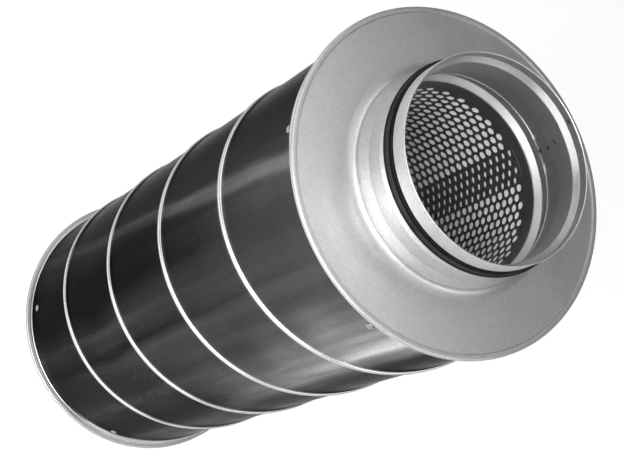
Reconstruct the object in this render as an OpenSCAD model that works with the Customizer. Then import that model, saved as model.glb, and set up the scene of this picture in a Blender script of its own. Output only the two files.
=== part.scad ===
// Round duct sound attenuator: a spiral-wound casing round a perforated tube,
// with a sound-absorbing lining between them and a sealed spigot at each end.
// It stands on its rear spigot: +Z is the duct axis, and Z = 0 is the rear spigot's edge.

/* [Overall size] */
// Nominal diameter of the duct that it joins
duct_d = 160; // [125:5:315]
// Thickness of the sound-absorbing lining, from the duct to the casing
lining = 50; // [40:1:100]
// Length between the two end faces
body_len = 600; // [300:10:1200]

/* [Sheet thickness] */
// Sheet of the casing
casing_t = 0.7; // [0.5:0.1:1]
// Sheet of the end caps
cap_t = 0.8; // [0.6:0.1:1]
// Sheet of the spigots
spigot_t = 0.6; // [0.5:0.1:1]
// Sheet of the perforated tube
tube_t = 0.6; // [0.5:0.1:1]

/* [Spigots] */
// How far each spigot stands out from its end face
spigot_len = 57.5; // [50:0.5:90]
// How much smaller the spigot is than the duct, on the diameter
duct_clearance = 0.8; // [0.4:0.1:1.6]
// Straight nose in front of the gasket groove
nose_len = 7.5; // [6:0.5:12]
// Depth of the gasket groove
groove_depth = 3.2; // [2.4:0.1:4]
// Flat bottom of the gasket groove
groove_w = 16; // [14:0.5:18]
// Length of the groove's front flank
groove_front = 6; // [4:0.5:8]
// Length of the groove's rear flank
groove_back = 4.5; // [3.5:0.5:6]
// How far the spigot reaches in behind the end face
spigot_tail = 14; // [12:0.5:16]

/* [Locking bead] */
// Height of the rolled bead that locks tube, spigot and end cap together
bead_h = 4.6; // [3:0.1:6]
// Length of the bead's rear flank
bead_rear = 8.5; // [6:0.5:11]
// Length of the bead's crest, which carries the neck of the end cap
bead_crest = 3.6; // [2.4:0.1:6]
// Length of the bead's front flank
bead_front = 3.6; // [3:0.1:8]

/* [End caps] */
// How far the rolled rim stands out past the casing
rim_overhang = 6.8; // [6:0.1:10]
// Thickness of the rolled rim
rim_h = 4; // [3.4:0.1:6]
// How far the face lies behind the rim
face_step = 0.8; // [0.4:0.1:1.2]
// Width of the flat band on the rim
rim_band = 2.4; // [1.5:0.1:3]
// Radial width of the curved neck round the spigot
neck_w = 8.5; // [5:0.1:12]
// Straight edge of the neck, which sits on the bead
neck_land = 0.8; // [0.5:0.1:1.5]
// How far the skirt reaches into the casing, from the end face
skirt_len = 32; // [28:1:50]

/* [Casing] */
// Width of the casing's turned-out edge
flange_w = 3.2; // [3:0.1:5]
// Radius of the bend at the turned-out edge, on its inner side
flange_bend = 2.5; // [2:0.1:2.8]
// Rise of the spiral lock seam in one turn
seam_lead = 120.5; // [80:0.5:160]
// Width of the lock seam at its foot
seam_w = 6; // [4:0.1:8]
// Height of the lock seam
seam_h = 2.2; // [1.2:0.1:3]
// Distance from the front face to the first turn, seen from the front (-Y)
seam_at = 120.4; // [90:0.1:150]

/* [Perforated tube] */
// Rows of holes round the tube
hole_rows = 40; // [24:1:48]
// Hole diameter as a share of the distance between rows
hole_share = 0.75; // [0.5:0.05:0.8]
// Plain margin from the end face to the perforated stretch
plain_margin = 18.5; // [17:0.5:30]
// Rows that lie under the lap seam
lap_rows = 2; // [1:1:3]
// Angle at which the lap seam begins
lap_angle = 72; // [0:1:300]
// Share of a hole that the second layer covers under the lap
lap_cover = 0.4; // [0.2:0.05:0.6]

/* [Lining] */
// Fleece between the tube and the mineral wool
fleece_t = 0.8; // [0.5:0.1:2]
// Room between the fleece and the tube's edges
fleece_gap = 0.02; // [0.02:0.01:0.1]

/* [Gaskets] */
// How far the rear lip stands above the spigot
lip_rise = 3.2; // [2:0.1:4]
// Thickness of a lip
lip_t = 0.8; // [0.6:0.1:1.2]
// Distance from the gasket's front edge back to the tip of its front lip
lip_set_back = 3.5; // [3:0.1:5]
// Distance between the tips of the two lips
lip_space = 5.3; // [4.5:0.1:7]
// Room between the gasket's foot and the flanks of its groove
gasket_gap = 0.1; // [0.1:0.05:0.5]

/* [Rivets] */
// Rivets at each end
rivet_count = 5; // [3:1:8]
// Shank diameter
rivet_d = 4; // [3:0.1:5]
// Head diameter
rivet_head_d = 6.6; // [6:0.1:9]
// Head height
rivet_head_h = 1.5; // [1:0.1:2.5]
// Distance from the end face to the rivets
rivet_set = 20; // [18:0.5:24]
// Angle of the first rivet at the front end
front_rivet_angle = 230.5; // [0:0.5:360]
// Angle of the first rivet at the rear end
rear_rivet_angle = 241; // [0:0.5:360]

/* [Hidden] */
$fn = 96;

galvanised = [0.72, 0.73, 0.74];
dark_galvanised = [0.42, 0.43, 0.44];
rubber = [0.07, 0.07, 0.08];
fleece = [0.93, 0.93, 0.90];
wool = [0.80, 0.74, 0.55];

// Places of the two end faces along the axis
rear_z = spigot_len;
front_z = spigot_len + body_len;

// Radii from the duct outwards
spigot_r = (duct_d - duct_clearance) / 2;
seat_r = spigot_r - spigot_t;
fleece_r = seat_r + fleece_t;
casing_r = duct_d / 2 + lining;
casing_in = casing_r - casing_t;
rim_r = casing_r + rim_overhang;
roll_r = rim_h / 2;
skirt_in = casing_in - cap_t;

// Ring that the neck of the end cap sits on
neck_in = seat_r + bead_h + spigot_t;
neck_r = neck_in + cap_t;
face_r = neck_r + neck_w;

// Groove places, measured out from the end face
groove_x1 = spigot_len - nose_len - groove_front;
groove_x0 = groove_x1 - groove_w;
groove_r = spigot_r - groove_depth;

// Roots of the gasket's lips: how high they lie, and how far a lip leans back from its root
lip_root_r = groove_r + groove_depth * 0.85;
lip_lean = 3 * lip_t;

// Hole pattern: rows on flat facets, every second row shifted by half a pitch.
// The facets lie a little inside the round margins, and reach into them.
facet_inset = 0.25;
facet_tuck = 1;
corner_r = seat_r - facet_inset;
facet_w = 2 * corner_r * sin(180 / hole_rows);
facet_r = corner_r * cos(180 / hole_rows);
hole_d = hole_share * facet_w;
hole_pitch = 2 * facet_w / sqrt(3);
perforated_len = body_len - 2 * plain_margin;
holes_per_row = floor((perforated_len - facet_w) / hole_pitch - 0.5) + 1;
first_hole = (perforated_len - (holes_per_row - 0.5) * hole_pitch) / 2;
first_lap_row = round(lap_angle * hole_rows / 360);

// Direction of the corner where a row's facet begins, and the inner radius there:
// two radii at the lap's edges, where the wall turns from one layer to two
function corner(row) = [cos(360 * row / hole_rows), sin(360 * row / hole_rows)];
function is_lapped(row) = row >= first_lap_row && row < first_lap_row + lap_rows;
function inner_r(row) = corner_r - (is_lapped(row) ? 2 : 1) * tube_t / cos(180 / hole_rows);
function wall_steps(row) = inner_r(row - 1) == inner_r(row)
    ? [inner_r(row)]
    : [inner_r(row - 1), inner_r(row)];

// Lock seam: a trapezoid swept along a helix, its foot sunk in the casing's wall,
// and the shallow fold line that it leaves on the wall's inner side
seam_sides = 48;
seam_sink = casing_t / 3;
seam_top_share = 0.6;
seam_stagger = 0.1;
seam_run_out = 0.5;
seam_lo = rear_z + rim_h + flange_bend + seam_run_out;
seam_hi = front_z - rim_h - flange_bend - seam_run_out;
seam_profile = [
    [casing_r - seam_sink, -seam_w / 2],
    [casing_r + seam_h, -seam_w / 2 * seam_top_share],
    [casing_r + seam_h, seam_w / 2 * seam_top_share],
    [casing_r - seam_sink, seam_w / 2],
];
fold_depth = casing_in * (1 - cos(180 / seam_sides)) + casing_t / 7;
fold_profile = [
    [casing_in - fold_depth, -seam_w / 4],
    [casing_in + fold_depth, 0],
    [casing_in - fold_depth, seam_w / 4],
];
seam_from = seam_lo - seam_w / 2 + len(seam_profile) * seam_stagger;
seam_to = seam_hi + seam_w / 2 - len(seam_profile) * seam_stagger;
seam_rings = ceil((seam_to - seam_from) / seam_lead * seam_sides);

// Rivets: a drawn tail under the skirt, and a dimple where the stem broke off
rivet_gap = 0.1;
tail_r = rivet_d * 0.68;
tail_len = rivet_d;
tail_top = sqrt(skirt_in * skirt_in - tail_r * tail_r);
stem_r = rivet_d / 4;
stem_depth = rivet_head_h * 0.4;
rivet_room = 0.5;

// Points of an arc about a centre
function arc(centre, radius, from, to, steps = 6) = [
    for (i = [0 : steps])
        let (a = from + (to - from) * i / steps)
            centre + radius * [cos(a), sin(a)]
];

// Points of a soft S-curve from one radius and place to another
function ramp(x0, r0, x1, r1, steps = 6) = [
    for (i = [0 : steps])
        let (s = (1 - cos(180 * i / steps)) / 2)
            [r0 + (r1 - r0) * s, x0 + (x1 - x0) * i / steps]
];

function unit(v) = v / norm(v);
function left_of(v) = [-v[1], v[0]];
function reversed(list) = [for (i = [len(list) - 1 : -1 : 0]) list[i]];

// A path moved to its left, with mitred corners
function shifted(path, d) = [
    for (i = [0 : len(path) - 1])
        let (
            into = unit(path[max(i, 1)] - path[max(i, 1) - 1]),
            on = i < len(path) - 1 ? unit(path[i + 1] - path[i]) : into,
            a = left_of(into),
            b = left_of(on)
        )
        path[i] + d * (a + b) / (1 + a * b)
];

// Outline of a sheet that lies to the left of a path, or to its right if t is negative
function sheet(path, t) = concat(path, reversed(shifted(path, t)));

// Line where the tube's margin lies in the spigot, with the bead rolled into both
seat_bead = concat(
    ramp(-bead_rear, seat_r, 0, seat_r + bead_h),
    ramp(bead_crest, seat_r + bead_h, bead_crest + bead_front, seat_r)
);

// Inner line of the spigot, from its tail to its nose
spigot_path = concat(
    [[seat_r, -spigot_tail]],
    seat_bead,
    ramp(groove_x0 - groove_back, seat_r, groove_x0, seat_r - groove_depth),
    ramp(groove_x1, seat_r - groove_depth, groove_x1 + groove_front, seat_r),
    [[seat_r, spigot_len]]
);

// Line where the casing's turned-out edge lies on the end cap, from the rim inwards
flange_arc = arc([casing_in + flange_bend, -rim_h - flange_bend], flange_bend, 90, 180);

// Outer line of the end cap: neck, face, rolled rim, then the skirt inside the casing
neck_x = bead_crest - neck_land;
cap_path = concat(
    [[neck_r, bead_crest]],
    [for (i = [0 : 8])
        let (a = 90 * i / 8)
            [face_r - neck_w * cos(a), neck_x - (neck_x + face_step) * sin(a)]],
    [[rim_r - roll_r - rim_band - face_step, -face_step]],
    [[rim_r - roll_r - rim_band, 0]],
    arc([rim_r - roll_r, -roll_r], roll_r, 90, -90, 8),
    flange_arc,
    [[casing_in, -skirt_len]]
);

// Inner line of the casing, from its front edge to its rear edge
function at_front(path) = [for (p = path) [p[0], front_z + p[1]]];
function at_rear(path) = [for (p = path) [p[0], rear_z - p[1]]];
flange_path = concat([[casing_r + flange_w, -rim_h]], flange_arc);
casing_path = concat(at_front(flange_path), reversed(at_rear(flange_path)));

// One end's pieces, drawn out from the end face, put at the front or turned over at the rear
module at_end(front) {
    translate([0, 0, front ? front_z : rear_z])
        rotate([front ? 0 : 180, 0, 0])
            children();
}

// A ring with the given half section
module ring(outline) {
    rotate_extrude()
        polygon(outline);
}

// Children placed at the rivets of one end, with +Z pointing out from the duct axis
module at_rivets(front) {
    first = front ? front_rivet_angle : -rear_rivet_angle;
    for (i = [0 : rivet_count - 1])
        rotate([0, 0, first + 360 * i / rivet_count])
            translate([0, 0, -rivet_set])
                rotate([0, 90, 0])
                    children();
}

// Holes for one end's rivets, through casing and skirt
module rivet_holes(front) {
    at_rivets(front)
        translate([0, 0, skirt_in - 1])
            cylinder(d = rivet_d + rivet_gap, h = casing_r - skirt_in + 2);
}

// Room above the casing for one end's rivet heads, where the lock seam is pressed flat
module head_room(front) {
    at_rivets(front)
        translate([0, 0, casing_r])
            cylinder(d = rivet_head_d + 2 * rivet_room, h = seam_h + rivet_room);
}

// One ring of a sweep along the lock seam, kept between the two turned-out edges
function seam_ring(profile, i) =
    let (
        z = seam_from + (seam_to - seam_from) * i / seam_rings,
        a = 270 + (z - front_z + seam_at) * 360 / seam_lead,
        last = len(profile) - 1
    )
    [for (k = [0 : last])
        let (
            p = profile[k],
            lowest = seam_lo + k * seam_stagger,
            highest = seam_hi - (last - k) * seam_stagger
        )
        [p[0] * cos(a), p[0] * sin(a), min(max(z + p[1], lowest), highest)]];

module along_seam(profile) {
    n = len(profile);
    points = [for (i = [0 : seam_rings]) each seam_ring(profile, i)];
    sides = [for (i = [0 : seam_rings - 1], k = [0 : n - 1])
        let (
            a = i * n + k,
            b = i * n + (k + 1) % n
        )
        each [[a, b, a + n], [b, b + n, a + n]]];
    start = [for (k = [1 : n - 2]) [0, k + 1, k]];
    last = seam_rings * n;
    finish = [for (k = [1 : n - 2]) [last, last + k, last + k + 1]];
    polyhedron(points, concat(sides, start, finish));
}

module casing() {
    color(dark_galvanised)
        difference() {
            union() {
                ring(sheet(casing_path, casing_t));
                along_seam(seam_profile);
            }
            along_seam(fold_profile);
            for (front = [true, false])
                at_end(front) {
                    rivet_holes(front);
                    head_room(front);
                }
        }
}

module end_cap(front) {
    color(galvanised)
        at_end(front)
            difference() {
                ring(sheet(cap_path, -cap_t));
                rivet_holes(front);
            }
}

module spigot(front) {
    color(galvanised)
        at_end(front)
            ring(sheet(spigot_path, -spigot_t));
}

// One row of holes along the tube, drawn through the wall; a lap leaves only part of each hole
module hole_row(row) {
    shift = row % 2 == 0 ? 0 : hole_pitch / 2;
    covered = is_lapped(row) ? lap_cover : 0;
    rotate([0, 0, 360 * (row + 0.5) / hole_rows])
        translate([facet_r - 3 * tube_t, 0, rear_z + plain_margin + first_hole + shift])
            rotate([90, 0, 90])
                linear_extrude(4 * tube_t)
                    for (i = [0 : holes_per_row - 1])
                        translate([0, i * hole_pitch])
                            intersection() {
                                circle(d = hole_d);
                                translate([0, covered * hole_d])
                                    circle(d = hole_d);
                            }
}

module perforated_tube() {
    margin = concat([[seat_r, -plain_margin]], seat_bead);
    inner = [for (row = [0 : hole_rows - 1])
        each [for (r = wall_steps(row)) r * corner(row)]];
    color(dark_galvanised) {
        difference() {
            translate([0, 0, rear_z + plain_margin - facet_tuck])
                linear_extrude(perforated_len + 2 * facet_tuck)
                    difference() {
                        polygon([for (row = [0 : hole_rows - 1]) corner_r * corner(row)]);
                        polygon(inner);
                    }
            for (row = [0 : hole_rows - 1])
                hole_row(row);
        }
        for (front = [true, false])
            at_end(front)
                ring(sheet(margin, tube_t));
    }
}

module fleece_wrap() {
    color(fleece)
        translate([0, 0, rear_z + plain_margin])
            linear_extrude(perforated_len)
                difference() {
                    polygon([for (row = [0 : hole_rows - 1]) fleece_r * corner(row)]);
                    polygon([for (row = [0 : hole_rows - 1]) (corner_r + fleece_gap) * corner(row)]);
                }
}

module mineral_wool() {
    end_line = [
        [fleece_r, -plain_margin],
        [face_r, -face_step - cap_t],
        [skirt_in, -face_step - cap_t],
        [skirt_in, -skirt_len],
        [casing_in, -skirt_len]
    ];
    color(wool)
        difference() {
            ring(concat(at_front(end_line), reversed(at_rear(end_line))));
            for (front = [true, false])
                at_end(front)
                    at_rivets(front)
                        translate([0, 0, tail_top - tail_len - rivet_room])
                            cylinder(r = tail_r + rivet_room, h = tail_len + 2);
        }
}

// One lip of the gasket, from its front root over the tip to its rear root
function lip(tip) = [
    [lip_root_r, tip[1] + lip_lean],
    tip,
    tip - [lip_t / 2, lip_t],
    [lip_root_r, tip[1] + lip_t]
];

module gasket(front) {
    foot_edge_r = groove_r + lip_t;
    front_tip = [spigot_r + lip_rise * 0.6, groove_x1 - lip_set_back];
    rear_tip = [spigot_r + lip_rise, front_tip[1] - lip_space];
    outline = concat(
        [
            [groove_r, groove_x0 + gasket_gap],
            [groove_r, groove_x1 - gasket_gap]
        ],
        lip(front_tip),
        lip(rear_tip),
        [
            [foot_edge_r, rear_tip[1] - lip_lean],
            [foot_edge_r, groove_x0 + gasket_gap]
        ]
    );
    color(rubber)
        at_end(front)
            ring(outline);
}

module rivets(front) {
    dome_r = (rivet_head_d * rivet_head_d / 4 + rivet_head_h * rivet_head_h) / (2 * rivet_head_h);
    dome_top = casing_r + rivet_head_h;
    rim_angle = acos(rivet_head_d / 2 / dome_r);
    stem_angle = acos(stem_r / dome_r);
    outline = concat(
        [[0, tail_top - tail_len]],
        [[stem_r, tail_top - tail_len]],
        [[tail_r, tail_top - tail_len / 2]],
        [[tail_r, tail_top]],
        [[rivet_d / 2, tail_top]],
        [[rivet_d / 2, casing_r]],
        arc([0, dome_top - dome_r], dome_r, rim_angle, stem_angle),
        [[stem_r, dome_top - stem_depth]],
        [[0, dome_top - stem_depth]]
    );
    color(galvanised)
        at_end(front)
            at_rivets(front)
                ring(outline);
}

casing();
end_cap(true);  // front_end_cap
end_cap(false);  // rear_end_cap
spigot(true);  // front_spigot
spigot(false);  // rear_spigot
perforated_tube();
fleece_wrap();
mineral_wool();
gasket(true);  // front_gasket
gasket(false);  // rear_gasket
rivets(true);  // front_rivets
rivets(false);  // rear_rivets
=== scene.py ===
"""Looks of the round duct sound attenuator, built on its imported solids.

The object stands on its rear spigot, and +Z is the duct axis. The finishes and the pieces hold
their sizes in millimetres, as a maker would, and the meshes are in metres. Places along an end
are measured out from that end's face.
"""
from __future__ import annotations

import functools
import logging
import math
from dataclasses import dataclass
from enum import Enum
from typing import Sequence

import bmesh
import bpy
from bmesh.types import BMesh, BMVert
from bpy.types import Material, Node, NodeSocket, NodeTree, Object
from mathutils import Matrix, Vector


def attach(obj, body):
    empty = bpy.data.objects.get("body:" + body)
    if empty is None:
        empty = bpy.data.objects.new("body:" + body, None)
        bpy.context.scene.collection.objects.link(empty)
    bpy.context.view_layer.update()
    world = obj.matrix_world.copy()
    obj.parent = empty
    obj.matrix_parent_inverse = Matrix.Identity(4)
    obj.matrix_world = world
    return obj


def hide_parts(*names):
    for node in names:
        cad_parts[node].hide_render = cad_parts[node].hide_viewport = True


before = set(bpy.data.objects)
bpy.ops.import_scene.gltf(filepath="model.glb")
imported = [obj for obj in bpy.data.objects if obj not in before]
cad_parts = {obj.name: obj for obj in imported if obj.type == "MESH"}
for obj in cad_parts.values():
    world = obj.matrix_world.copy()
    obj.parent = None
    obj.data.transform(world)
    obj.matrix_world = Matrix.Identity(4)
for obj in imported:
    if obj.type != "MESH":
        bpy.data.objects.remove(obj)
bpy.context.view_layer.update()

LOG = logging.getLogger("attenuator")
MM = 0.001
BODY = "root"
# Angle of the side that faces the camera, -Y, in degrees
FRONT_SIDE = 270.0
# Points nearer to each other than this, in millimetres, become one
MERGE_GAP = 0.02

Point = tuple[float, float]
Triple = tuple[float, float, float]
Outline = list[Point]


class End(Enum):
    """The two ends of the attenuator, with the height of each end face in millimetres."""

    FRONT = 657.5
    REAR = 57.5

    def height(self, out: float) -> float:
        """Height of a place that lies `out` millimetres out from this end's face."""
        return self.value + out if self is End.FRONT else self.value - out

    @property
    def word(self) -> str:
        """The end's name in piece names."""
        return self.name.lower()


# Outlines of rolled sheet


def arc(centre: Point, radius: float, start: float, stop: float, steps: int = 12) -> Outline:
    """Points of an arc about a centre, from one angle to another in degrees."""
    angles = [math.radians(start + (stop - start) * i / steps) for i in range(steps + 1)]
    return [(centre[0] + radius * math.cos(a), centre[1] + radius * math.sin(a)) for a in angles]


def ramp(x0: float, r0: float, x1: float, r1: float, corner: float = 0.16) -> Outline:
    """Points of a straight flank with rounded corners between two radii.

    Args:
        x0: Place of the first point.
        r0: Radius of the first point.
        x1: Place of the last point.
        r1: Radius of the last point.
        corner: Share of the length that each corner takes.

    Returns:
        The points as radius and place.
    """
    line: Outline = []
    for share in (0.0, 0.25, 0.5, 0.75, 1.0):
        s = share * corner
        line.append((s * s / (2 * corner * (1 - corner)), s))
    line += [(1 - rise, 1 - s) for rise, s in line[::-1]]
    return [(r0 + (r1 - r0) * rise, x0 + (x1 - x0) * s) for rise, s in line]


def shifted(path: Outline, distance: float) -> Outline:
    """A path moved to its left with mitred corners.

    Args:
        path: Points without doubles.
        distance: How far the path moves, negative to its right.

    Returns:
        The moved points.
    """
    points = [Vector(p) for p in path]
    moved: Outline = []
    for i, point in enumerate(points):
        into = (points[max(i, 1)] - points[max(i, 1) - 1]).normalized()
        onward = (points[i + 1] - point).normalized() if i < len(points) - 1 else into
        a = Vector((-into.y, into.x))
        b = Vector((-onward.y, onward.x))
        place = point + distance * (a + b) / (1 + a.dot(b))
        moved.append((place.x, place.y))
    return moved


def sheet_outline(path: Outline, thickness: float) -> Outline:
    """Closed half section of a sheet beside a path, on its right if thickness is negative."""
    return path + shifted(path, thickness)[::-1]


def rounded(points: Outline, steps: int = 5) -> Outline:
    """A closed outline drawn as a smooth curve through its points.

    Args:
        points: Corners of the outline.
        steps: Curve points for each corner.

    Returns:
        The points of the smooth closed curve.
    """
    corners = [Vector(p) for p in points]
    count = len(corners)
    curve: Outline = []
    for i in range(count):
        p0, p1, p2, p3 = (corners[(i + k - 1) % count] for k in range(4))
        for j in range(steps):
            t = j / steps
            place = 0.5 * (2 * p1 + (p2 - p0) * t + (2 * p0 - 5 * p1 + 4 * p2 - p3) * t * t
                           + (3 * p1 - p0 - 3 * p2 + p3) * t * t * t)
            curve.append((place.x, place.y))
    return curve


# Meshes


def skin(bm: BMesh, rows: Sequence[Sequence[BMVert]], ring: bool, loop: bool) -> None:
    """Lays faces between neighbouring rows of points.

    Args:
        bm: The mesh that holds the points.
        rows: Rows with the same number of points.
        ring: Whether the last row meets the first one.
        loop: Whether each row is a closed line.
    """
    onward = [*rows[1:], rows[0]] if ring else rows[1:]
    for near, far in zip(rows, onward):
        for k in range(len(near) if loop else len(near) - 1):
            n = (k + 1) % len(near)
            bm.faces.new((near[k], near[n], far[n], far[k]))


def turned(outline: Outline, end: End | None = None, segments: int = 240,
           start: float = 0.0, sweep: float = 360.0) -> BMesh:
    """Turns a closed half section round the duct axis.

    Args:
        outline: Closed half section as radius and height, or radius and place out from an end.
        end: The end that the places are measured from, or None for heights.
        segments: Number of steps in the sweep.
        start: Angle at which the sweep begins, in degrees.
        sweep: Angle of the sweep in degrees; less than a full turn gets two end faces.

    Returns:
        A closed mesh in metres with its faces outwards.
    """
    full = sweep >= 360.0
    section = [(r * MM, (end.height(x) if end else x) * MM) for r, x in outline]
    bm = bmesh.new()
    rows = []
    for i in range(segments if full else segments + 1):
        angle = math.radians(start + sweep * i / segments)
        c, s = math.cos(angle), math.sin(angle)
        rows.append([bm.verts.new((r * c, r * s, z)) for r, z in section])
    skin(bm, rows, ring=full, loop=True)
    if not full:
        bm.faces.new(rows[0])
        bm.faces.new(rows[-1])
    bmesh.ops.recalc_face_normals(bm, faces=bm.faces)
    return bm


def stud(profile: Outline, radius: float, height: float, sides: int) -> BMesh:
    """Turns a profile about a line that runs out from the duct axis along +X.

    Args:
        profile: Distance from the line, and place along it from the foot; both ends lie on it.
        radius: Radius of the foot.
        height: Height of the line.
        sides: Number of steps in the turn.

    Returns:
        A closed mesh in metres with its faces outwards.
    """
    bm = bmesh.new()
    rows = []
    for i in range(sides):
        a = 2 * math.pi * i / sides
        rows.append([bm.verts.new(((radius + out) * MM, r * math.cos(a) * MM,
                                   (height + r * math.sin(a)) * MM)) for r, out in profile])
    skin(bm, rows, ring=True, loop=False)
    bmesh.ops.remove_doubles(bm, verts=bm.verts, dist=MERGE_GAP * MM)
    bmesh.ops.recalc_face_normals(bm, faces=bm.faces)
    return bm


def as_piece(name: str, bm: BMesh, smooth_angle: float = 38.0) -> Object:
    """Makes a piece of a mesh, smooth apart from its sharp edges.

    Args:
        name: Name of the piece.
        bm: Its mesh, freed here.
        smooth_angle: Edges sharper than this, in degrees, stay sharp.

    Returns:
        The new object, linked to the scene.
    """
    mesh = bpy.data.meshes.new(name)
    bm.to_mesh(mesh)
    bm.free()
    mesh.shade_smooth()
    mesh.set_sharp_from_angle(angle=math.radians(smooth_angle))
    piece = bpy.data.objects.new(name, mesh)
    bpy.context.scene.collection.objects.link(piece)
    return piece


def joined(meshes: Sequence[BMesh]) -> BMesh:
    """Puts several meshes in one and frees them.

    Args:
        meshes: The meshes to put together.

    Returns:
        One mesh that holds them all.
    """
    whole = bmesh.new()
    for bm in meshes:
        part = bpy.data.meshes.new("part")
        bm.to_mesh(part)
        bm.free()
        whole.from_mesh(part)
        bpy.data.meshes.remove(part)
    return whole


def seat(piece: Object, material: Material, slot: str, *nodes: str) -> None:
    """Dresses a finished piece, lets it ride on the body, and reports it.

    Args:
        piece: The piece.
        material: Its material.
        slot: The record's material slot; not used.
        nodes: CAD nodes that the piece stands for.
    """
    piece.data.materials.clear()
    piece.data.materials.append(material)
    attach(piece, BODY)
    if nodes:
        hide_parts(*nodes)
    LOG.info("%s: %d faces", piece.name, len(piece.data.polygons))


# Node trees


class Nodes:
    """A node tree that is put together node by node."""

    def __init__(self, tree: NodeTree) -> None:
        """Takes the tree that the nodes go in."""
        self.tree = tree

    def feed(self, socket: NodeSocket, value: object) -> None:
        """Links another socket to an input, or sets the input to a plain value.

        Args:
            socket: The input.
            value: The socket or the value that it gets.
        """
        if isinstance(value, NodeSocket):
            self.tree.links.new(value, socket)
        else:
            socket.default_value = value

    def add(self, kind: str, inputs: dict | None = None, **settings: object) -> Node:
        """Adds a node.

        Args:
            kind: Its type.
            inputs: Values or sockets for its inputs, by name or number.
            settings: Its own settings.

        Returns:
            The new node.
        """
        node = self.tree.nodes.new(kind)
        for key, value in settings.items():
            setattr(node, key, value)
        for key, value in (inputs or {}).items():
            self.feed(node.inputs[key], value)
        return node

    def math(self, operation: str, *terms: object) -> NodeSocket:
        """A Math node's result."""
        return self.add("ShaderNodeMath", dict(enumerate(terms)), operation=operation).outputs[0]

    def vector(self, x: object, y: object, z: object = 0.0) -> NodeSocket:
        """A vector of three numbers or sockets."""
        return self.add("ShaderNodeCombineXYZ", {0: x, 1: y, 2: z}).outputs[0]

    def split(self, vector: NodeSocket) -> list[NodeSocket]:
        """The X, Y and Z of a vector."""
        return list(self.add("ShaderNodeSeparateXYZ", {0: vector}).outputs)


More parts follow.
